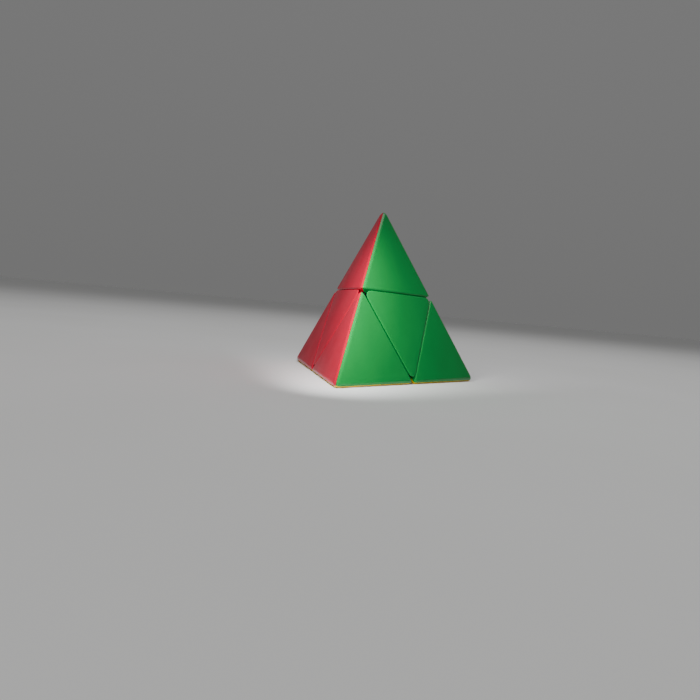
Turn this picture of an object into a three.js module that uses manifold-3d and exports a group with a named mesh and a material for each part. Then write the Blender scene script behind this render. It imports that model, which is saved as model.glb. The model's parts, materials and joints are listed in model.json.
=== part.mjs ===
// A pyramid twisty puzzle: a regular tetrahedron cut in two along three axes at right angles to
// each other, which gives four three-coloured tips and four one-coloured face pieces. They ride on
// a hidden ball of six centres and twelve inner edges, held to a core by six sprung screws.
//
// Millimetres, +Z up. The origin is the middle of the bottom face, and one bottom corner points
// to -Y. Every piece is drawn in the mechanism's own frame, whose origin is the middle of the
// ball and whose axes are the three turning axes: X to the front edge, Y to the right edge and
// Z to the left edge. The last lines tip that frame over so that the bottom face lies flat.

import * as THREE from 'three';
import { mergeVertices } from 'three/addons/utils/BufferGeometryUtils.js';
import Module from 'manifold-3d';

const wasm = await Module();
wasm.setup();

// ---- Driving dimensions ----

const edgeLength = 88;         // side of the pyramid, measured to its sharp corners
const edgeRound = 1.5;         // radius of the outer edges and corners
const gap = 0.3;               // between any two neighbouring pieces
const shellThickness = 2;      // coloured shells
const wallThickness = 1.6;     // walls of the bodies under the shells
const floorThickness = 2.1;    // body between a face piece's shell and the ball
const plugDepth = 1.2;         // how far a shell's plug drops between the body's walls
const ballFeet = 0.77;         // radius where the ball's caps end and its feet start, of the ball's
const ballCore = 0.545;        // radius where the feet end and the core starts, of the ball's
const capHalfWidth = 0.333;    // half width of a centre's cap, of the ball's radius
const footHalfWidth = 0.22;    // half width of a centre's stem, of the ball's radius
const shankRadius = 1;         // screws
const headRadius = 1.65;
const headHeight = 1;
const recessWidth = 0.5;       // cross recess in a screw's head
const recessLength = 2.3;
const recessDepth = 0.5;
const wireRadius = 0.18;       // springs
const springPitch = 0.65;
const pegHalfWidth = 1.75;     // pegs on the core that the centres sit on
const pegHeight = 0.9;
const shelfThickness = 1;      // web of a centre between its peg socket and its spring bore
const ballDetail = 3;          // how finely a sphere's twenty faces are divided
const roundSegments = 12;      // flats round a bore, a peg or a screw
const stepsPerTurn = 8;        // straight lengths in one turn of a spring

// ---- Sizes that follow from them ----

const fit = gap / 2;                                        // each piece's share of a gap
const inRadius = edgeLength / (2 * Math.sqrt(6));           // from the middle to a face
const cubeHalf = edgeLength / (2 * Math.sqrt(2));           // from the middle to an edge
const cornerRadius = 3 * inRadius;                          // from the middle to a sharp corner
const edgeDrop = edgeRound * (Math.sqrt(3) - 1);            // a round edge below the sharp one
const cornerDrop = 2 * edgeRound;                           // a round corner below the sharp one
const bodyRadius = inRadius - shellThickness - gap;         // from the middle to a body's faces
const ballRadius = bodyRadius - floorThickness - fit;
const feetRadius = ballFeet * ballRadius;
const coreRadius = ballCore * ballRadius;
const capHalf = capHalfWidth * ballRadius;
const footHalf = footHalfWidth * ballRadius;
const boreRadius = headRadius + gap;
const shankHole = shankRadius + fit;
const socketTop = coreRadius + pegHeight + gap;
const shelfTop = socketTop + shelfThickness;
const headTop = ballRadius - gap;
const headBottom = headTop - headHeight;
const springRadius = (shankRadius + boreRadius) / 2;
const springBottom = shelfTop + fit + wireRadius;
const springTop = headBottom - fit - wireRadius;
const springTurns = Math.max(1, Math.round((springTop - springBottom) / springPitch));
const screwTip = 3 * shankRadius;                           // from the middle, clear of the others
const pegRoot = coreRadius / 2;                             // where a peg starts, deep in the core
const far = edgeLength;                                     // past the outside of everything

// ---- Solids ----

function solid(geometry) {
  const bare = geometry.clone();
  bare.deleteAttribute('normal');
  bare.deleteAttribute('uv');
  const merged = mergeVertices(bare, 1e-5);
  const vertProperties = new Float32Array(merged.attributes.position.array);
  const triVerts = new Uint32Array(merged.index.array);
  return new wasm.Manifold(new wasm.Mesh({ numProp: 3, vertProperties, triVerts }));
}

function geometryOf(manifold) {
  const mesh = manifold.getMesh();
  const geometry = new THREE.BufferGeometry();
  geometry.setAttribute('position', new THREE.BufferAttribute(mesh.vertProperties, 3));
  geometry.setIndex(new THREE.BufferAttribute(mesh.triVerts, 1));
  geometry.computeVertexNormals();
  return geometry;
}

function box(from, to) {
  const low = new THREE.Vector3(...from);
  const high = new THREE.Vector3(...to);
  const size = high.clone().sub(low);
  const middle = high.clone().add(low).multiplyScalar(0.5);
  const geometry = new THREE.BoxGeometry(size.x, size.y, size.z);
  return solid(geometry.translate(middle.x, middle.y, middle.z));
}

function ball(radius) {
  return solid(new THREE.IcosahedronGeometry(radius, ballDetail));
}

// A rod on the X axis.
function rod(radius, from, to) {
  const geometry = new THREE.CylinderGeometry(radius, radius, to - from, roundSegments);
  return solid(geometry.rotateZ(-Math.PI / 2).translate((from + to) / 2, 0, 0));
}

// The regular tetrahedron whose faces stand at this distance from the middle.
function tetrahedron(faceDistance) {
  return solid(new THREE.TetrahedronGeometry(3 * faceDistance));
}

// Everything below the plane at this distance along the direction.
function below(direction, distance) {
  const up = direction.clone().normalize();
  const geometry = new THREE.BoxGeometry(4 * far, 4 * far, 4 * far).translate(0, 0, -2 * far);
  const turn = new THREE.Quaternion().setFromUnitVectors(new THREE.Vector3(0, 0, 1), up);
  geometry.applyQuaternion(turn).translate(up.x * distance, up.y * distance, up.z * distance);
  return solid(geometry);
}

// The part of a box between two spheres.
function layer(from, to, innerRadius, outerRadius) {
  return box(from, to).intersect(ball(outerRadius)).subtract(ball(innerRadius));
}

// The whole puzzle's outside, with its edges and corners taken down to where their round comes.
function outside() {
  const side = cubeHalf - edgeDrop;
  const edges = box([-side, -side, -side], [side, side, side]);
  const cornerPlanes = new THREE.TetrahedronGeometry(3 * (cornerRadius - cornerDrop));
  return tetrahedron(inRadius).intersect(edges).intersect(solid(cornerPlanes.rotateX(Math.PI / 2)));
}

// ---- Ball and core ----

// The three ends of the turning axes that point up carry centres that turn. The other three
// point down, and their centres are keyed to the core by square pegs.
function core() {
  let body = ball(coreRadius - fit);
  for (const sign of [1, -1]) {
    for (let axis = 0; axis < 3; axis += 1) {
      body = body.add(alongAxis(peg(sign, 0), axis, sign));
    }
  }
  for (const sign of [1, -1]) {
    for (let axis = 0; axis < 3; axis += 1) {
      body = body.subtract(alongAxis(rod(shankHole, screwTip - gap, far), axis, sign));
    }
  }
  return body;
}

// A peg of the core, or with some clearance the socket that takes it: round on the ends that
// turn and square on the ends that are keyed.
function peg(sign, clearance) {
  const top = coreRadius + pegHeight + clearance;
  const half = pegHalfWidth + clearance;
  if (sign > 0) {
    return rod(half, pegRoot, top);
  }
  return box([pegRoot, -half, -half], [top, half, half]);
}

function centre(sign) {
  const cap = capHalf - fit;
  const stem = footHalf - fit;
  const upper = layer([0, -cap, -cap], [far, cap, cap], feetRadius + fit, ballRadius - fit);
  const lower = layer([0, -stem, -stem], [far, stem, stem], coreRadius + fit, feetRadius + gap);
  return upper.add(lower)
    .subtract(rod(boreRadius, shelfTop, far))
    .subtract(rod(shankHole, 0, far))
    .subtract(peg(sign, gap));
}

// The inner edge between the +X and the +Y centre.
function innerEdge() {
  const cap = capHalf + fit;
  const foot = footHalf + fit;
  const capSide = capHalf - fit;
  const footSide = footHalf - fit;
  const upper = layer([cap, cap, -capSide], [far, far, capSide], feetRadius + fit, ballRadius - fit);
  const neck = layer([cap, cap, -footSide], [far, far, footSide], feetRadius - gap, feetRadius + gap);
  const lower = layer([foot, foot, -footSide], [far, far, footSide], coreRadius + fit, feetRadius - fit);
  return upper.add(neck).add(lower);
}

function screw() {
  const profile = [
    new THREE.Vector2(0, screwTip),
    new THREE.Vector2(shankRadius, screwTip + shankRadius),
    new THREE.Vector2(shankRadius, headBottom),
    new THREE.Vector2(headRadius, headBottom),
    new THREE.Vector2(headRadius, headTop),
    new THREE.Vector2(0, headTop),
  ];
  const turned = solid(new THREE.LatheGeometry(profile, roundSegments).rotateZ(-Math.PI / 2));
  const long = recessLength / 2;
  const short = recessWidth / 2;
  const bottom = headTop - recessDepth;
  return turned
    .subtract(box([bottom, -long, -short], [far, long, short]))
    .subtract(box([bottom, -short, -long], [far, short, long]));
}

class Helix extends THREE.Curve {
  getPoint(share, target = new THREE.Vector3()) {
    const angle = share * springTurns * 2 * Math.PI;
    const along = springBottom + (springTop - springBottom) * share;
    return target.set(along, springRadius * Math.cos(angle), springRadius * Math.sin(angle));
  }
}

function spring() {
  const section = new THREE.Shape();
  section.absarc(0, 0, wireRadius, 0, 2 * Math.PI);
  const geometry = new THREE.ExtrudeGeometry(section, {
    steps: springTurns * stepsPerTurn,
    curveSegments: 3,
    bevelEnabled: false,
    extrudePath: new Helix(),
  });
  return solid(geometry);
}

// ---- Tips and face pieces ----

// The body of the piece in one eighth of the ball: all three signs are + for the apex tip and -
// for the bottom face piece. Walls line the three cuts, a bowl sits on the ball, and a neck
// leads to the foot that the inner edges hold down.
function pieceBody(sign) {
  const eighth = (start, end) => {
    const near = [sign * start, sign * start, sign * start];
    const away = [sign * end, sign * end, sign * end];
    return sign > 0 ? [near, away] : [away, near];
  };
  const hollow = box(...eighth(wallThickness + fit, far)).subtract(ball(ballRadius + fit + wallThickness));
  const walls = tetrahedron(bodyRadius)
    .intersect(box(...eighth(fit, far)))
    .subtract(ball(ballRadius + fit))
    .subtract(hollow);
  const neck = layer(...eighth(capHalf + fit, far), feetRadius - gap, ballRadius + gap);
  const foot = layer(...eighth(footHalf + fit, far), coreRadius + fit, feetRadius - fit);
  return walls.add(neck).add(foot);
}

// A shell on the face that looks away from the given corner, in one eighth, with a plug on its
// inside. The other faces of the same piece carry shells too, and the shells meet in mitres.
function colouredShell(sign, corner, otherCorners) {
  const eighth = (start) => {
    const near = [sign * start, sign * start, sign * start];
    const away = [sign * far, sign * far, sign * far];
    return sign > 0 ? box(near, away) : box(away, near);
  };
  let region = below(corner, shellThickness - inRadius);
  let plugRegion = below(corner, shellThickness + plugDepth - inRadius);
  for (const other of otherCorners) {
    const across = corner.clone().sub(other);
    region = region.intersect(below(across, -fit));
    plugRegion = plugRegion.intersect(below(across, -fit));
  }
  const plate = outside().intersect(eighth(fit)).intersect(region);
  const plug = tetrahedron(inRadius - shellThickness / 2)
    .intersect(eighth(wallThickness + fit + gap))
    .intersect(plugRegion)
    .subtract(ball(ballRadius + fit + wallThickness + gap));
  return plate.add(plug);
}

// ---- Turns that carry a piece to its copies ----

const axisVectors = [
  new THREE.Vector3(1, 0, 0),
  new THREE.Vector3(0, 1, 0),
  new THREE.Vector3(0, 0, 1),
];

// The turn about the apex's diagonal that carries X to Y, Y to Z and Z to X, this many times.
function cycle(times) {
  const diagonal = new THREE.Vector3(1, 1, 1).normalize();
  return new THREE.Quaternion().setFromAxisAngle(diagonal, times * 2 * Math.PI / 3);
}

// The turn that carries +X to this end of this axis.
function toAxis(axis, sign) {
  const flip = new THREE.Quaternion().setFromAxisAngle(axisVectors[2], sign > 0 ? 0 : Math.PI);
  return cycle(axis).multiply(flip);
}

function alongAxis(manifold, axis, sign) {
  return solid(geometryOf(manifold).applyQuaternion(toAxis(axis, sign)));
}

// ---- Colours ----

const faces = [
  { name: 'yellow', corner: new THREE.Vector3(1, 1, 1), colour: 0xf2d21b },
  { name: 'blue', corner: new THREE.Vector3(1, -1, -1), colour: 0x1648c8 },
  { name: 'red', corner: new THREE.Vector3(-1, 1, -1), colour: 0xd8162c },
  { name: 'green', corner: new THREE.Vector3(-1, -1, 1), colour: 0x05a53c },
];

function faceAwayFrom(corner) {
  return faces.find((face) => face.corner.distanceTo(corner) < 0.5);
}

const innerPlastic = { color: 0x1b1c1f, roughness: 0.5, metalness: 0 };
const corePlastic = { color: 0xe9e6dd, roughness: 0.45, metalness: 0 };
const screwSteel = { color: 0xb9bcc0, roughness: 0.35, metalness: 1 };
const springSteel = { color: 0x9da0a4, roughness: 0.3, metalness: 1 };

// ---- Assembly ----

const mechanism = new THREE.Group();

function place(name, geometry, look, turn = new THREE.Quaternion()) {
  const mesh = new THREE.Mesh(geometry, new THREE.MeshStandardMaterial(look));
  mesh.name = name;
  mesh.quaternion.copy(turn);
  mechanism.add(mesh);
}

// What each end of each axis is called, + end first.
const ends = [
  ['front_up', 'back_down'],
  ['right_up', 'left_down'],
  ['left_up', 'right_down'],
];

function placeBall() {
  place('core', geometryOf(core()), corePlastic);
  const screwGeometry = geometryOf(screw());
  const springGeometry = geometryOf(spring());
  for (const sign of [1, -1]) {
    const kind = sign > 0 ? 'turning_centre' : 'fixed_centre';
    const centreGeometry = geometryOf(centre(sign));
    for (let axis = 0; axis < 3; axis += 1) {
      const end = ends[axis][sign > 0 ? 0 : 1];
      const turn = toAxis(axis, sign);
      place(`${kind}_${end}`, centreGeometry, corePlastic, turn);
      place(`screw_${end}`, screwGeometry, screwSteel, turn);
      place(`spring_${end}`, springGeometry, springSteel, turn);
    }
  }
  placeInnerEdges();
}

// Quarter turns about Z carry the first inner edge round to the four that lie between the X and
// Y ends, and the cycle carries those four to the other two pairs of axes.
function placeInnerEdges() {
  const geometry = geometryOf(innerEdge());
  const signsByQuarter = [[1, 1], [-1, 1], [-1, -1], [1, -1]];
  for (let axis = 0; axis < 3; axis += 1) {
    signsByQuarter.forEach(([first, second], quarter) => {
      const firstEnd = ends[axis][first > 0 ? 0 : 1];
      const secondEnd = ends[(axis + 1) % 3][second > 0 ? 0 : 1];
      const spin = new THREE.Quaternion().setFromAxisAngle(axisVectors[2], quarter * Math.PI / 2);
      place(`inner_edge_${firstEnd}_${secondEnd}`, geometry, innerPlastic, cycle(axis).multiply(spin));
    });
  }
}

// The apex tip stands in the eighth where all three signs are +. A half turn about each axis
// carries it to the three bottom tips.
function placeTips() {
  const body = geometryOf(pieceBody(1));
  const away = faces.slice(1).map((face) => face.corner);
  const shell = geometryOf(colouredShell(1, away[2], [away[0], away[1]]));
  const tips = [
    { name: 'apex_tip', turn: new THREE.Quaternion() },
    { name: 'front_tip', turn: new THREE.Quaternion().setFromAxisAngle(axisVectors[0], Math.PI) },
    { name: 'right_tip', turn: new THREE.Quaternion().setFromAxisAngle(axisVectors[1], Math.PI) },
    { name: 'left_tip', turn: new THREE.Quaternion().setFromAxisAngle(axisVectors[2], Math.PI) },
  ];
  for (const tip of tips) {
    place(`${tip.name}_body`, body, innerPlastic, tip.turn);
    for (let times = 0; times < 3; times += 1) {
      const turn = tip.turn.clone().multiply(cycle(times));
      const face = faceAwayFrom(away[2].clone().applyQuaternion(turn));
      const look = { color: face.colour, roughness: 0.38, metalness: 0 };
      place(`${tip.name}_${face.name}_shell`, shell, look, turn);
    }
  }
}

// The bottom face piece stands in the eighth where all three signs are -. Half turns carry it
// to the back, left and right face pieces.
function placeFacePieces() {
  const body = geometryOf(pieceBody(-1));
  const shell = geometryOf(colouredShell(-1, faces[0].corner, []));
  const pieces = [
    { name: 'bottom_piece', turn: new THREE.Quaternion() },
    { name: 'back_piece', turn: new THREE.Quaternion().setFromAxisAngle(axisVectors[0], Math.PI) },
    { name: 'left_piece', turn: new THREE.Quaternion().setFromAxisAngle(axisVectors[1], Math.PI) },
    { name: 'right_piece', turn: new THREE.Quaternion().setFromAxisAngle(axisVectors[2], Math.PI) },
  ];
  for (const piece of pieces) {
    const face = faceAwayFrom(faces[0].corner.clone().applyQuaternion(piece.turn));
    const look = { color: face.colour, roughness: 0.38, metalness: 0 };
    place(`${piece.name}_body`, body, innerPlastic, piece.turn);
    place(`${piece.name}_${face.name}_shell`, shell, look, piece.turn);
  }
}

placeBall();
placeTips();
placeFacePieces();

// The front axis rises to the front edge, which leans back over the bottom corner at -Y. The
// other two axes are that one turned a third of the way round the upright each way.
const rise = Math.sqrt(1 / 3);
const reach = Math.sqrt(2 / 3);
const frontAxis = new THREE.Vector3(0, -reach, rise);
const rightAxis = new THREE.Vector3(reach * Math.cos(Math.PI / 6), reach / 2, rise);
const leftAxis = new THREE.Vector3(-reach * Math.cos(Math.PI / 6), reach / 2, rise);
const tipped = new THREE.Matrix4().makeBasis(frontAxis, rightAxis, leftAxis);
mechanism.quaternion.setFromRotationMatrix(tipped);
mechanism.position.set(0, 0, inRadius);

const puzzle = new THREE.Group();
puzzle.add(mechanism);

export default puzzle;
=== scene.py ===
"""A pyramid twisty puzzle on a pale studio floor.

Four tips and four face pieces stand round a hidden ball. Each tip is modelled once, at the apex,
and each face piece once, at the bottom, and half turns about the three turning axes carry them
to their copies. Lengths are in metres.
"""

import json
import math

import bpy
from mathutils import Matrix, Vector


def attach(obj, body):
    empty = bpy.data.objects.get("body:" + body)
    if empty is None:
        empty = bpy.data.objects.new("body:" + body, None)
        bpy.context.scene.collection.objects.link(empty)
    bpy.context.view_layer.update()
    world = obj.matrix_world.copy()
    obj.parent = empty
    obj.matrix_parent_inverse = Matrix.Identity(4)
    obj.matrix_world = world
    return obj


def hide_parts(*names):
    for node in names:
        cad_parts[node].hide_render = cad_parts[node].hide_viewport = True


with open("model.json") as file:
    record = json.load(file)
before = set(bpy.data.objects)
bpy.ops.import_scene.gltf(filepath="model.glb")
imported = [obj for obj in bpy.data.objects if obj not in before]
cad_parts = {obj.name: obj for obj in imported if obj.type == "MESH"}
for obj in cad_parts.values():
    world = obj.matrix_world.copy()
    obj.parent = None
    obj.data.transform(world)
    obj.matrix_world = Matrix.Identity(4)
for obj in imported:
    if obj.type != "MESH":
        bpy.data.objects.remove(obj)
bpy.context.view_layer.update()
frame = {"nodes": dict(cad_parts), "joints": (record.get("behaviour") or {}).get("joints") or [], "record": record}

# ---- Sizes ----

MM = 0.001

turns = {joint["name"]: joint for joint in frame["joints"]}
middle = Vector(turns["front_layer_turn"]["pos_m"])
front_axis = Vector(turns["front_layer_turn"]["axis"]).normalized()
right_axis = Vector(turns["right_layer_turn"]["axis"]).normalized()
left_axis = Vector(turns["left_layer_turn"]["axis"]).normalized()
axes = (front_axis, right_axis, left_axis)

face_distance = middle.z
side = face_distance * 2 * math.sqrt(6)
height = face_distance * 4
base_radius = side / math.sqrt(3)
far = side  # past the outside of everything

edge_round = 1.6 * MM  # outer edges and corners
gap = 0.3 * MM  # across a cut
fit = gap / 2  # each piece's share of it
hairline = 0.04 * MM  # between two colours of one tip, each side
shell_thickness = 2 * MM
wall_thickness = 1.6 * MM
tip_corner_round = 2 * MM  # where two cuts meet on a tip
face_corner_round = 3.4 * MM  # the same on a face piece
tip_lip = 0.4 * MM  # rounding of the rim along a cut
face_lip = 0.9 * MM
tip_plug = 1.2 * MM  # how far a shell's plug drops into its body
face_plug = 0.5 * MM
floor_thickness = 2.1 * MM  # body between a face piece's shell and the ball
body_edge = 0.25 * MM  # small bevel on the bodies
panel_rim = 1.3 * MM  # round the shallow panels moulded into the cut faces
panel_depth = 0.25 * MM

body_distance = face_distance - shell_thickness - gap
ball_radius = body_distance - floor_thickness - fit
feet_radius = 0.77 * ball_radius
core_radius = 0.545 * ball_radius
cap_half = 0.333 * ball_radius
foot_half = 0.22 * ball_radius
peg_half = 1.75 * MM  # pegs on the core that the centres sit on
peg_top = core_radius + 0.9 * MM
socket_top = peg_top + gap
shelf_top = socket_top + 1 * MM  # web of a centre, between its socket and its spring bore
shank_radius = 1 * MM
head_radius = 1.65 * MM
head_top = ball_radius - gap
head_bottom = head_top - 1 * MM
recess_depth = 0.5 * MM
bore_radius = head_radius + gap
shank_hole = shank_radius + fit
screw_tip = 3 * shank_radius  # from the middle, clear of the other screws
recess_half_length = 1.15 * MM  # cross recess in a screw's head
recess_half_width = 0.25 * MM
recess_edge = 0.05 * MM
head_dome = 0.12 * MM  # steps of a screw head's domed profile
thread_pitch = 0.45 * MM
thread_section = 0.2 * MM
thread_sink = 0.1 * MM  # how deep the thread's section sits in the shank
wire_radius = 0.18 * MM
spring_radius = (shank_radius + bore_radius) / 2
spring_turns = 3
small_edge = 0.12 * MM  # softened edges of the ball's parts

ball_segments = 96
rod_segments = 64
screw_segments = 48
wire_sides = 12
coil_steps = 32  # straight lengths in one turn of a spring or a thread

edge_angle = math.acos(1 / 3)  # between two faces of the pyramid

mechanism = Matrix.Translation(middle) @ Matrix(
    [[axis[row] for axis in axes] for row in range(3)]
).to_4x4()


# ---- Modelling helpers ----


def alone(piece):
    """Selects one object and nothing else."""
    bpy.ops.object.select_all(action="DESELECT")
    piece.select_set(True)
    bpy.context.view_layer.objects.active = piece
    return piece


def fresh(name):
    """Names the primitive that was just added."""
    piece = bpy.context.active_object
    piece.name = name
    return alone(piece)


def settle():
    """Puts an object's place and turn into its mesh."""
    bpy.ops.object.transform_apply(location=True, rotation=True, scale=True)


def copy_of(piece, name):
    """A copy with a mesh of its own."""
    alone(piece)
    bpy.ops.object.duplicate(linked=False)
    return fresh(name)


def discard(piece):
    alone(piece)
    bpy.ops.object.delete()


def choose(piece, kind, wanted):
    """In edit mode, selects the faces or edges that the test wants."""
    bpy.ops.object.mode_set(mode="OBJECT")
    mesh = piece.data
    for part in (mesh.polygons, mesh.edges, mesh.vertices):
        part.foreach_set("select", [False] * len(part))
    bpy.ops.object.mode_set(mode="EDIT")
    bpy.ops.mesh.select_mode(type=kind)
    bpy.ops.object.mode_set(mode="OBJECT")
    parts = mesh.polygons if kind == "FACE" else mesh.edges
    for part in parts:
        part.select = bool(wanted(part))
    bpy.ops.object.mode_set(mode="EDIT")


def edit_all(piece):
    """Opens edit mode with everything selected."""
    alone(piece)
    bpy.ops.object.mode_set(mode="EDIT")
    bpy.ops.mesh.select_all(action="SELECT")


def bevel(width, segments, clamp=False):
    """In edit mode, rounds the chosen edges and then leaves it."""
    bpy.ops.mesh.bevel(
        offset_type="OFFSET",
        offset=width,
        segments=segments,
        profile=0.5,
        affect="EDGES",
        clamp_overlap=clamp,
    )
    bpy.ops.object.mode_set(mode="OBJECT")


def combine(piece, other, how):
    """Joins, cuts or intersects a piece with another, which is used up."""
    alone(piece)
    modifier = piece.modifiers.new("combine", "BOOLEAN")
    modifier.operation = how
    modifier.solver = "EXACT"
    modifier.object = other
    bpy.ops.object.modifier_apply(modifier=modifier.name)
    discard(other)
    return alone(piece)


def cut_off(piece, point, normal):
    """Cuts away what lies on the side that the normal points to, and closes the cut."""
    edit_all(piece)
    bpy.ops.mesh.bisect(
        plane_co=point, plane_no=normal, use_fill=True, clear_outer=True, threshold=1e-7
    )
    bpy.ops.object.mode_set(mode="OBJECT")


def smooth(piece, degrees=30):
    """Shades edges flatter than this as one round surface."""
    alone(piece)
    bpy.ops.object.shade_smooth_by_angle(angle=math.radians(degrees))


# ---- Directions ----


def corner_direction(signs):
    """From the middle to the corner in this eighth, or away from the face that looks at it."""
    total = sum((axis * sign for axis, sign in zip(axes, signs)), Vector())
    return total.normalized()


corners = {
    "apex": (1, 1, 1),
    "front": (1, -1, -1),
    "right": (-1, 1, -1),
    "left": (-1, -1, 1),
}
faces = {  # each face is named for its colour and given by the corner that it looks away from
    "yellow": "apex",
    "blue": "front",
    "red": "right",
    "green": "left",
}


def outward(colour):
    return -corner_direction(corners[faces[colour]])


def half_turn(axis):
    return Matrix.Translation(middle) @ Matrix.Rotation(math.pi, 4, axis) @ Matrix.Translation(-middle)


# ---- Outer pieces ----


def sharp_pyramid():
    bpy.ops.object.select_all(action="DESELECT")
    bpy.ops.mesh.primitive_cone_add(
        vertices=3,
        radius1=base_radius,
        radius2=0,
        depth=height,
        location=(0, 0, height / 2),
        rotation=(0, 0, math.pi),
    )
    pyramid = fresh("pyramid")
    settle()
    return pyramid


def rounded_pyramid():
    """The whole pyramid with all its edges rounded."""
    pyramid = sharp_pyramid()
    edit_all(pyramid)
    bevel(edge_round / math.tan(edge_angle / 2), 10)
    return pyramid


def eighth_block(sign, start, corner_round=0):
    """Fills one eighth of space, this far off the cuts: towards the apex, or the bottom if sign is -1."""
    bpy.ops.object.select_all(action="DESELECT")
    bpy.ops.mesh.primitive_cube_add(size=far, location=(far / 2, far / 2, far / 2))
    block = fresh("eighth block")
    settle()
    if corner_round > 0:
        vertices = block.data.vertices
        choose(block, "EDGE", lambda edge: any(vertices[i].co.length < fit for i in edge.vertices))
        bevel(corner_round, 8)
    bpy.ops.transform.translate(value=(start, start, start))
    settle()
    if sign < 0:
        bpy.ops.transform.resize(value=(-1, -1, -1), center_override=(0, 0, 0))
        settle()
        edit_all(block)
        bpy.ops.mesh.normals_make_consistent(inside=False)
        bpy.ops.object.mode_set(mode="OBJECT")
    block.matrix_world = mechanism
    settle()
    return block


def ball(radius, centre=middle):
    """A fine ball, turned a little so that its own edges don't fall on those of the cuts."""
    bpy.ops.object.select_all(action="DESELECT")
    bpy.ops.mesh.primitive_uv_sphere_add(
        radius=radius,
        segments=ball_segments,
        ring_count=ball_segments // 2,
        location=centre,
        rotation=(0.31, 0.17, 0.07),
    )
    sphere = fresh("ball")
    settle()
    return sphere


def on_outside(piece, sign):
    """For each face of a piece, whether it is on the outside rather than on a cut."""
    least_lean = 0.3  # a cut faces away from the axes, an outer face leans along at least one
    return [
        max(sign * polygon.normal.dot(axis) for axis in axes) > least_lean
        for polygon in piece.data.polygons
    ]


def round_rims(piece, sign, width, segments):
    """Rounds the rim between the outside of a piece and its cuts."""
    outer = on_outside(piece, sign)
    sides = {}
    for polygon in piece.data.polygons:
        for key in polygon.edge_keys:
            sides.setdefault(key, set()).add(outer[polygon.index])
    alone(piece)
    choose(piece, "EDGE", lambda edge: len(sides[edge.key]) == 2)
    bevel(width, segments)


def whole_tip():
    """The outer shape of a tip, before it is cut into its shells."""
    tip = combine(rounded_pyramid(), eighth_block(1, fit, tip_corner_round), "INTERSECT")
    round_rims(tip, 1, tip_lip, 4)
    return tip


def whole_face_piece():
    """The outer shape of a face piece, before it is cut down to its shell."""
    piece = combine(sharp_pyramid(), eighth_block(-1, fit, face_corner_round), "INTERSECT")
    round_rims(piece, -1, face_lip, 6)
    return piece


def plug(sign, out, neighbours, depth):
    """The raised block on the inside of a shell, which drops between the walls of the body."""
    block = combine(sharp_pyramid(), eighth_block(sign, fit + wall_thickness + gap), "INTERSECT")
    cut_off(block, middle + out * (face_distance - shell_thickness / 2), out)
    cut_off(block, middle + out * (face_distance - shell_thickness - depth), -out)
    for neighbour in neighbours:
        across = (outward(neighbour) - out).normalized()
        cut_off(block, middle - across * gap, across)
    return block


def shell(whole, sign, colour, neighbours, depth):
    """The outermost layer of a piece on one side, mitred where it meets the other colours."""
    plate = copy_of(whole, "shell")
    out = outward(colour)
    cut_off(plate, middle + out * (face_distance - shell_thickness), -out)
    for neighbour in neighbours:
        across = (outward(neighbour) - out).normalized()
        cut_off(plate, middle - across * hairline, across)
    combine(plate, plug(sign, out, neighbours, depth), "UNION")
    smooth(plate)
    return plate


# ---- Bodies under the shells ----


def inner_pyramid():
    """The pyramid that the bodies fill, one shell and one gap inside the outer one."""
    bpy.ops.object.select_all(action="DESELECT")
    share = body_distance / face_distance
    bpy.ops.mesh.primitive_cone_add(
        vertices=3,
        radius1=base_radius * share,
        radius2=0,
        depth=height * share,
        location=(0, 0, middle.z - body_distance + height * share / 2),
        rotation=(0, 0, math.pi),
    )
    pyramid = fresh("inner pyramid")
    settle()
    return pyramid


def ball_layer(sign, start, inner, outer):
    """The part of an eighth block that lies between two balls."""
    block = combine(eighth_block(sign, start), ball(outer), "INTERSECT")
    return combine(block, ball(inner), "DIFFERENCE")


def piece_body(sign):
    """Walls along the three cuts, a bowl on the ball, and a foot that the inner edges hold down."""
    corner_round = tip_corner_round if sign > 0 else face_corner_round
    body = combine(inner_pyramid(), eighth_block(sign, fit, corner_round), "INTERSECT")
    round_rims(body, sign, body_edge, 2)
    combine(body, ball(ball_radius + fit), "DIFFERENCE")
    choose(body, "FACE", lambda face: min(sign * face.normal.dot(axis) for axis in axes) < -0.999)
    bpy.ops.mesh.inset(thickness=panel_rim, depth=-panel_depth)
    bpy.ops.object.mode_set(mode="OBJECT")
    hollow = combine(
        eighth_block(sign, fit + wall_thickness),
        ball(ball_radius + fit + wall_thickness),
        "DIFFERENCE",
    )
    combine(body, hollow, "DIFFERENCE")
    neck = ball_layer(sign, cap_half + fit, feet_radius - gap, ball_radius + gap)
    foot = ball_layer(sign, foot_half + fit, core_radius + fit, feet_radius - fit)
    combine(body, combine(neck, foot, "UNION"), "UNION")
    smooth(body)
    return body


# ---- Ball ----

# The parts of the ball are modelled round the origin, on an upright axis, and placed later.

origin = Vector()


def block(low, high, edge=small_edge):
    """A block between two corners, with its edges softened."""
    low, high = Vector(low), Vector(high)
    bpy.ops.object.select_all(action="DESELECT")
    bpy.ops.mesh.primitive_cube_add(size=1, location=(low + high) / 2, scale=high - low)
    piece = fresh("block")
    settle()
    edit_all(piece)
    bevel(edge, 2, clamp=True)
    return piece


def rod(radius, low, high, edge=small_edge):
    """An upright rod with its two rims softened."""
    bpy.ops.object.select_all(action="DESELECT")
    bpy.ops.mesh.primitive_cylinder_add(
        vertices=rod_segments, radius=radius, depth=high - low, location=(0, 0, (low + high) / 2)
    )
    piece = fresh("rod")
    settle()
    vertices = piece.data.vertices

    def is_level(side):
        start, end = (vertices[index].co.z for index in side.vertices)
        return abs(start - end) < edge

    choose(piece, "EDGE", is_level)
    bevel(edge, 2)
    return piece


def between_balls(piece, inner, outer):
    """Leaves only the part of a piece that lies between two balls."""
    combine(piece, ball(outer, origin), "INTERSECT")
    return combine(piece, ball(inner, origin), "DIFFERENCE")


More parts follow.
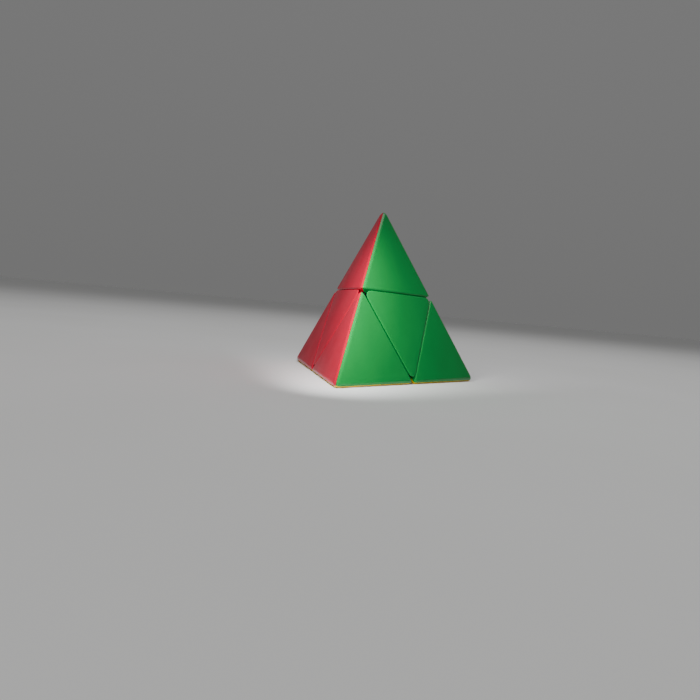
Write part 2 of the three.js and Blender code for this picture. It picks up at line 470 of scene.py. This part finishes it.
def peg(keyed, clearance=0):
    """A peg of the core, or the socket that takes it: square where the centre is keyed."""
    half = peg_half + clearance
    top = peg_top + clearance
    if keyed:
        return block((-half, -half, core_radius / 2), (half, half, top))
    return rod(half, core_radius / 2, top)


def core():
    """A ball with a peg and a screw hole on each end of the three axes."""
    body = ball(core_radius - fit, origin)
    for index in range(3):
        for keyed in (False, True):
            pin = peg(keyed)
            pin.matrix_world = to_end(index, keyed)
            settle()
            combine(body, pin, "UNION")
    for index in range(3):
        for keyed in (False, True):
            hole = rod(shank_hole, screw_tip - gap, far)
            hole.matrix_world = to_end(index, keyed)
            settle()
            combine(body, hole, "DIFFERENCE")
    smooth(body)
    return body


def centre(keyed):
    """The cap and stem on one end of an axis, with a bore for the spring and a socket below."""
    cap, stem = cap_half - fit, foot_half - fit
    piece = between_balls(block((-cap, -cap, 0), (cap, cap, far)), feet_radius + fit, ball_radius - fit)
    lower = between_balls(
        block((-stem, -stem, 0), (stem, stem, far)), core_radius + fit, feet_radius + gap
    )
    combine(piece, lower, "UNION")
    combine(piece, rod(bore_radius, shelf_top, far), "DIFFERENCE")
    combine(piece, rod(shank_hole, 0, far), "DIFFERENCE")
    combine(piece, peg(keyed, gap), "DIFFERENCE")
    smooth(piece)
    return piece


def inner_edge():
    """Lies between two centres: a cap under the outside of the ball, and a foot they hold down."""
    cap, foot = cap_half + fit, foot_half + fit
    cap_side, foot_side = cap_half - fit, foot_half - fit
    piece = between_balls(
        block((cap, cap, -cap_side), (far, far, cap_side)), feet_radius + fit, ball_radius - fit
    )
    neck = between_balls(
        block((cap, cap, -foot_side), (far, far, foot_side)), feet_radius - gap, feet_radius + gap
    )
    lower = between_balls(
        block((foot, foot, -foot_side), (far, far, foot_side)), core_radius + fit, feet_radius - fit
    )
    combine(piece, combine(neck, lower, "UNION"), "UNION")
    smooth(piece)
    return piece


def coil(section, sides, start, pitch, turns, radius, name):
    """Winds a small round or three-sided section upwards round the axis."""
    bpy.ops.object.select_all(action="DESELECT")
    bpy.ops.mesh.primitive_circle_add(
        vertices=sides, radius=section, location=(radius, 0, start), rotation=(math.pi / 2, 0, 0)
    )
    wire = fresh(name)
    settle()
    winding = wire.modifiers.new("winding", "SCREW")
    winding.axis = "Z"
    winding.screw_offset = pitch
    winding.iterations = turns
    winding.steps = winding.render_steps = coil_steps
    bpy.ops.object.modifier_apply(modifier=winding.name)
    edit_all(wire)
    bpy.ops.mesh.remove_doubles(threshold=1e-6)
    bpy.ops.mesh.fill_holes(sides=0)
    bpy.ops.mesh.normals_make_consistent(inside=False)
    bpy.ops.object.mode_set(mode="OBJECT")
    return wire


def spring():
    """Fills the bore of a centre from its shelf to the screw's head."""
    low = shelf_top + fit + wire_radius
    high = head_bottom - fit - wire_radius
    pitch = (high - low) / spring_turns
    wire = coil(wire_radius, wire_sides, low, pitch, spring_turns, spring_radius, "spring")
    smooth(wire, 50)
    return wire


def screw():
    """Turned from the tip up, with a rolled thread and a cross recess in its domed head."""
    dome = head_dome
    rings = [
        (shank_radius * 0.3, screw_tip),
        (shank_radius, screw_tip + shank_radius * 0.8),
        (shank_radius, head_bottom),
        (head_radius - dome, head_bottom),
        (head_radius, head_bottom + dome),
        (head_radius, head_top - 2 * dome),
        (head_radius - dome, head_top - dome / 2),
        (head_radius - 3 * dome, head_top),
    ]
    radius, level = rings[0]
    bpy.ops.object.select_all(action="DESELECT")
    bpy.ops.mesh.primitive_circle_add(
        vertices=screw_segments, radius=radius, fill_type="NGON", location=(0, 0, level)
    )
    piece = fresh("screw")
    settle()
    edit_all(piece)
    for wider, higher in rings[1:]:
        bpy.ops.mesh.extrude_region_move(TRANSFORM_OT_translate={"value": (0, 0, higher - level)})
        share = wider / radius
        bpy.ops.transform.resize(value=(share, share, 1), center_override=(0, 0, higher))
        radius, level = wider, higher
    bpy.ops.mesh.select_all(action="SELECT")
    bpy.ops.mesh.normals_make_consistent(inside=False)
    bpy.ops.object.mode_set(mode="OBJECT")
    long, short = recess_half_length, recess_half_width
    for half_x, half_y in ((long, short), (short, long)):
        slot = block((-half_x, -half_y, head_top - recess_depth), (half_x, half_y, far), recess_edge)
        combine(piece, slot, "DIFFERENCE")
    start = screw_tip + shank_radius
    turns = int((core_radius - start) / thread_pitch)
    thread = coil(
        thread_section, 3, start, thread_pitch, turns, shank_radius - thread_sink, "thread"
    )
    combine(piece, thread, "UNION")
    smooth(piece)
    return piece


def to_end(index, keyed):
    """Turns the upright to one end of a turning axis: the lower end if keyed, else the upper."""
    first, second = axes[(index + 1) % 3], axes[(index + 2) % 3]
    if keyed:
        sides = (second, first, -axes[index])
    else:
        sides = (first, second, axes[index])
    return Matrix([[side[row] for side in sides] for row in range(3)]).to_4x4()


# ---- Finishes ----


class Finish:
    """A material under construction, with helpers that add and join its nodes."""

    def __init__(self, name):
        self.material = bpy.data.materials.new(name)
        self.material.use_nodes = True
        self.tree = self.material.node_tree
        self.shader = self.tree.nodes["Principled BSDF"]
        self.place = self.add("ShaderNodeTexCoord").outputs["Object"]

    def add(self, kind, **settings):
        node = self.tree.nodes.new(kind)
        for key, value in settings.items():
            setattr(node, key, value)
        return node

    def join(self, output, target):
        self.tree.links.new(output, target)

    def noise(self, scale, detail=4.0, stretch=None):
        """Soft clouds, so many to the metre; stretch turns them and gives a scale for each axis."""
        texture = self.add("ShaderNodeTexNoise")
        texture.inputs["Scale"].default_value = scale
        texture.inputs["Detail"].default_value = detail
        place = self.place
        if stretch:
            mapping = self.add("ShaderNodeMapping")
            mapping.inputs["Rotation"].default_value = stretch[0]
            mapping.inputs["Scale"].default_value = stretch[1]
            self.join(place, mapping.inputs["Vector"])
            place = mapping.outputs["Vector"]
        self.join(place, texture.inputs["Vector"])
        return texture.outputs["Fac"]

    def between(self, factor, low, high, from_low=0.3, from_high=0.7):
        """Turns a variation into a number between two values."""
        span = self.add("ShaderNodeMapRange")
        span.inputs["From Min"].default_value = from_low
        span.inputs["From Max"].default_value = from_high
        span.inputs["To Min"].default_value = low
        span.inputs["To Max"].default_value = high
        self.join(factor, span.inputs["Value"])
        return span.outputs["Result"]

    def shades(self, factor, colours):
        """Turns a variation into a run of colours."""
        ramp = self.add("ShaderNodeValToRGB")
        elements = ramp.color_ramp.elements
        while len(elements) < len(colours):
            elements.new(0.5)
        for index, colour in enumerate(colours):
            elements[index].position = 0.3 + 0.4 * index / (len(colours) - 1)
            elements[index].color = (*colour, 1)
        self.join(factor, ramp.inputs["Fac"])
        return ramp.outputs["Color"]

    def bump(self, height, strength, distance, under=None):
        node = self.add("ShaderNodeBump")
        node.inputs["Strength"].default_value = strength
        node.inputs["Distance"].default_value = distance
        self.join(height, node.inputs["Height"])
        if under:
            self.join(under, node.inputs["Normal"])
        return node.outputs["Normal"]


def tinted(colour, share):
    """The colour made lighter or darker by a share of itself."""
    return tuple(min(1, part * (1 + share)) for part in colour)


def moulded_plastic(name, colour, rough, gloss):
    """Plastic coloured through, with faint flow marks, a fine satin grain and handling scratches."""
    finish = Finish(name)
    flow = finish.noise(60, 3, ((0.5, 0.2, 0.9), (1, 1, 0.25)))
    shades = [tinted(colour, -0.1), colour, tinted(colour, 0.07)]
    finish.join(finish.shades(flow, shades), finish.shader.inputs["Base Color"])
    handling = finish.noise(110, 6)
    finish.join(finish.between(handling, rough - 0.05, rough + 0.07), finish.shader.inputs["Roughness"])
    grain = finish.bump(finish.noise(2600, 2), 0.10, 0.03 * MM)
    scratches = finish.noise(900, 3, ((0.4, 0.7, 0.3), (1, 0.04, 1)))
    scratched = finish.bump(scratches, 0.05, 0.05 * MM, grain)
    sink = finish.bump(finish.noise(35, 1), 0.12, 0.4 * MM, scratched)
    finish.join(sink, finish.shader.inputs["Normal"])
    finish.shader.inputs["Specular IOR Level"].default_value = 0.32
    finish.shader.inputs["Coat Weight"].default_value = gloss
    finish.shader.inputs["Coat Roughness"].default_value = 0.16
    finish.shader.inputs["Subsurface Weight"].default_value = 0.06
    finish.shader.inputs["Subsurface Radius"].default_value = (1, 0.6, 0.4)
    finish.shader.inputs["Subsurface Scale"].default_value = 0.4 * MM
    return finish.material


def metal(name, colour, rough, stretch):
    """Plated or drawn steel, with marks along the way that it was worked."""
    finish = Finish(name)
    clouds = finish.noise(700, 4)
    shades = [tinted(colour, -0.18), colour, tinted(colour, 0.12)]
    finish.join(finish.shades(clouds, shades), finish.shader.inputs["Base Color"])
    marks = finish.noise(2500, 3, ((0, 0, 0), stretch))
    finish.join(finish.between(marks, rough - 0.1, rough + 0.12), finish.shader.inputs["Roughness"])
    finish.join(finish.bump(marks, 0.12, 0.02 * MM), finish.shader.inputs["Normal"])
    finish.shader.inputs["Metallic"].default_value = 1
    return finish.material


shell_colours = {
    "yellow": (0.8, 0.5, 0.002),
    "blue": (0, 0.027, 0.38),
    "red": (0.42, 0, 0.022),
    "green": (0, 0.21, 0.036),
}
finishes = {
    f"{colour}_shell": moulded_plastic(f"{colour} moulded plastic", shade, 0.34, 0.06)
    for colour, shade in shell_colours.items()
}
finishes["inner_plastic"] = moulded_plastic("black moulded plastic", (0.012, 0.012, 0.014), 0.5, 0.0)
finishes["ball_plastic"] = moulded_plastic("white nylon", (0.8, 0.78, 0.72), 0.45, 0.0)
finishes["screw_steel"] = metal("zinc plated steel", (0.48, 0.5, 0.52), 0.34, (1, 1, 1))
finishes["spring_steel"] = metal("drawn spring wire", (0.34, 0.35, 0.37), 0.28, (1, 0.1, 1))


# ---- Putting the pieces in place ----

record = frame["record"]
body_of = {
    node: body for body, nodes in record["behaviour"]["bodies"].items() for node in nodes
}
slot_of = {part["node"]: part["material_slot"] for part in record["subparts"]}


def install(piece, node, turn):
    """Makes a copy of the piece, turned to its place, which stands for this node."""
    placed = copy_of(piece, f"{node}_moulding")
    placed.matrix_world = turn
    settle()
    placed.data.materials.clear()
    placed.data.materials.append(finishes[slot_of[node]])
    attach(placed, body_of[node])
    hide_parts(node)
    return placed


def colour_towards(direction):
    return max(faces, key=lambda colour: outward(colour).dot(direction))


half_turns = [half_turn(axis) for axis in axes]

tip = whole_tip()
tip_body = piece_body(1)
tip_shell = shell(tip, 1, "green", ("red", "blue"), tip_plug)
for name, turn in zip(corners, [Matrix.Identity(4), *half_turns]):
    install(tip_body, f"{name}_tip_body", turn)
    for times in range(3):
        shell_turn = turn @ Matrix.Rotation(times * 2 * math.pi / 3, 4, "Z")
        colour = colour_towards(shell_turn.to_3x3() @ outward("green"))
        install(tip_shell, f"{name}_tip_{colour}_shell", shell_turn)

face_piece = whole_face_piece()
face_body = piece_body(-1)
face_shell = shell(face_piece, -1, "yellow", (), face_plug)
for name, turn in zip(("bottom", "back", "left", "right"), [Matrix.Identity(4), *half_turns]):
    install(face_body, f"{name}_piece_body", turn)
    colour = colour_towards(turn.to_3x3() @ outward("yellow"))
    install(face_shell, f"{name}_piece_{colour}_shell", turn)

ends = (("front_up", "back_down"), ("right_up", "left_down"), ("left_up", "right_down"))
to_middle = Matrix.Translation(middle)
core_ball, screw_blank, spring_coil = core(), screw(), spring()
centres = (centre(False), centre(True))
install(core_ball, "core", to_middle)
for index in range(3):
    for keyed in (0, 1):
        end = ends[index][keyed]
        turn = to_middle @ to_end(index, keyed)
        kind = ("turning", "fixed")[keyed]
        install(centres[keyed], f"{kind}_centre_{end}", turn)
        install(screw_blank, f"screw_{end}", turn)
        install(spring_coil, f"spring_{end}", turn)

edge_blank = inner_edge()
for index in range(3):
    for quarter, (first, second) in enumerate(((0, 0), (1, 0), (1, 1), (0, 1))):
        spin = Matrix.Rotation(quarter * math.pi / 2, 4, "Z")
        third = Matrix.Rotation(index * 2 * math.pi / 3, 4, "Z")
        name = f"inner_edge_{ends[index][first]}_{ends[(index + 1) % 3][second]}"
        install(edge_blank, name, third @ mechanism @ spin)

patterns = (tip, tip_body, tip_shell, face_piece, face_body, face_shell)
for pattern in (*patterns, core_ball, screw_blank, spring_coil, *centres, edge_blank):
    discard(pattern)

for node, part in frame["nodes"].items():
    for material_slot in part.material_slots:
        material_slot.material = finishes[slot_of[node]]


# ---- Studio ----


def studio_floor():
    """A wide sheet of paper, whose far side is too far off to see its end."""
    bpy.ops.object.select_all(action="DESELECT")
    bpy.ops.mesh.primitive_plane_add(size=60)
    floor = fresh("studio_floor")
    bpy.ops.object.mode_set(mode="EDIT")
    bpy.ops.mesh.select_all(action="SELECT")
    for width in (20, 6, 2):
        bpy.ops.mesh.inset(thickness=width / 2, depth=0)
    bpy.ops.object.mode_set(mode="OBJECT")
    paper = Finish("pale studio paper")
    tone = paper.shades(paper.noise(9, 4), [(0.82, 0.82, 0.81), (0.85, 0.85, 0.845)])
    paper.join(tone, paper.shader.inputs["Base Color"])
    paper.join(paper.between(paper.noise(40, 3), 0.75, 0.85), paper.shader.inputs["Roughness"])
    paper.join(paper.bump(paper.noise(1200, 3), 0.08, 0.05 * MM), paper.shader.inputs["Normal"])
    paper.shader.inputs["Specular IOR Level"].default_value = 0.2
    floor.data.materials.append(paper.material)
    return floor


def soft_light(name, place, aim, width, length, watts):
    """A soft box at one point, turned to face another."""
    light = bpy.data.lights.new(name, "AREA")
    light.shape = "RECTANGLE"
    light.size = width
    light.size_y = length
    light.energy = watts
    lamp = bpy.data.objects.new(name, light)
    lamp.location = place
    lamp.rotation_euler = (Vector(aim) - Vector(place)).to_track_quat("-Z", "Y").to_euler()
    lamp.visible_camera = False
    bpy.context.scene.collection.objects.link(lamp)
    return lamp


def studio_air(level):
    """Even pale light from all round, as bright at the horizon as the paper is under it."""
    world = bpy.data.worlds.new("studio air")
    world.use_nodes = True
    tree = world.node_tree
    direction = tree.nodes.new("ShaderNodeTexCoord").outputs["Generated"]
    split = tree.nodes.new("ShaderNodeSeparateXYZ")
    ramp = tree.nodes.new("ShaderNodeValToRGB")
    ramp.color_ramp.elements[0].position = 0.02
    ramp.color_ramp.elements[0].color = (0.86, 0.86, 0.855, 1)
    ramp.color_ramp.elements[1].position = 0.7
    ramp.color_ramp.elements[1].color = (1, 1, 1, 1)
    tree.links.new(direction, split.inputs["Vector"])
    tree.links.new(split.outputs["Z"], ramp.inputs["Fac"])
    tree.links.new(ramp.outputs["Color"], tree.nodes["Background"].inputs["Color"])
    tree.nodes["Background"].inputs["Strength"].default_value = level
    bpy.context.scene.world = world


studio_floor()
studio_air(level=0.2)

# A narrow light close in front of the front edge, from which both faces fall off.
below_edge_middle = 12 * MM
strip_distance = 46 * MM
edge_middle = middle + front_axis * side / (2 * math.sqrt(2))
edge_point = edge_middle - Vector((0, 0, below_edge_middle))
strip = soft_light(
    "strip light",
    place=edge_point + front_axis * strip_distance,
    aim=edge_point,
    width=12 * MM,
    length=60 * MM,
    watts=0.028,
)
strip.data.spread = math.radians(80)
strip.visible_glossy = False
soft_light("top light", place=(0.12, 0.05, 1.0), aim=(0, 0, 0), width=0.7, length=0.7, watts=4.6)


def add_camera():
    """Stands low in front, a little to the right, and leans to one side."""
    azimuth, elevation, roll = math.radians(15.2), math.radians(4.4), math.radians(5.2)
    back = Vector(
        (
            math.sin(azimuth) * math.cos(elevation),
            -math.cos(azimuth) * math.cos(elevation),
            math.sin(elevation),
        )
    )
    right = Vector((math.cos(azimuth), math.sin(azimuth), 0))
    up = back.cross(right)
    across = right * math.cos(roll) + up * math.sin(roll)
    upright = up * math.cos(roll) - right * math.sin(roll)
    camera = bpy.data.objects.new("camera", bpy.data.cameras.new("camera"))
    camera.data.lens = 28.3
    camera.data.sensor_width = 36
    camera.data.clip_start = 0.01
    stand = Vector((1.042, -4.5, 0.554)) * base_radius  # in radii of the circle round the base
    camera.matrix_world = Matrix.Translation(stand) @ Matrix(
        [[side[row] for side in (across, upright, back)] for row in range(3)]
    ).to_4x4()
    bpy.context.scene.collection.objects.link(camera)
    bpy.context.scene.camera = camera


add_camera()
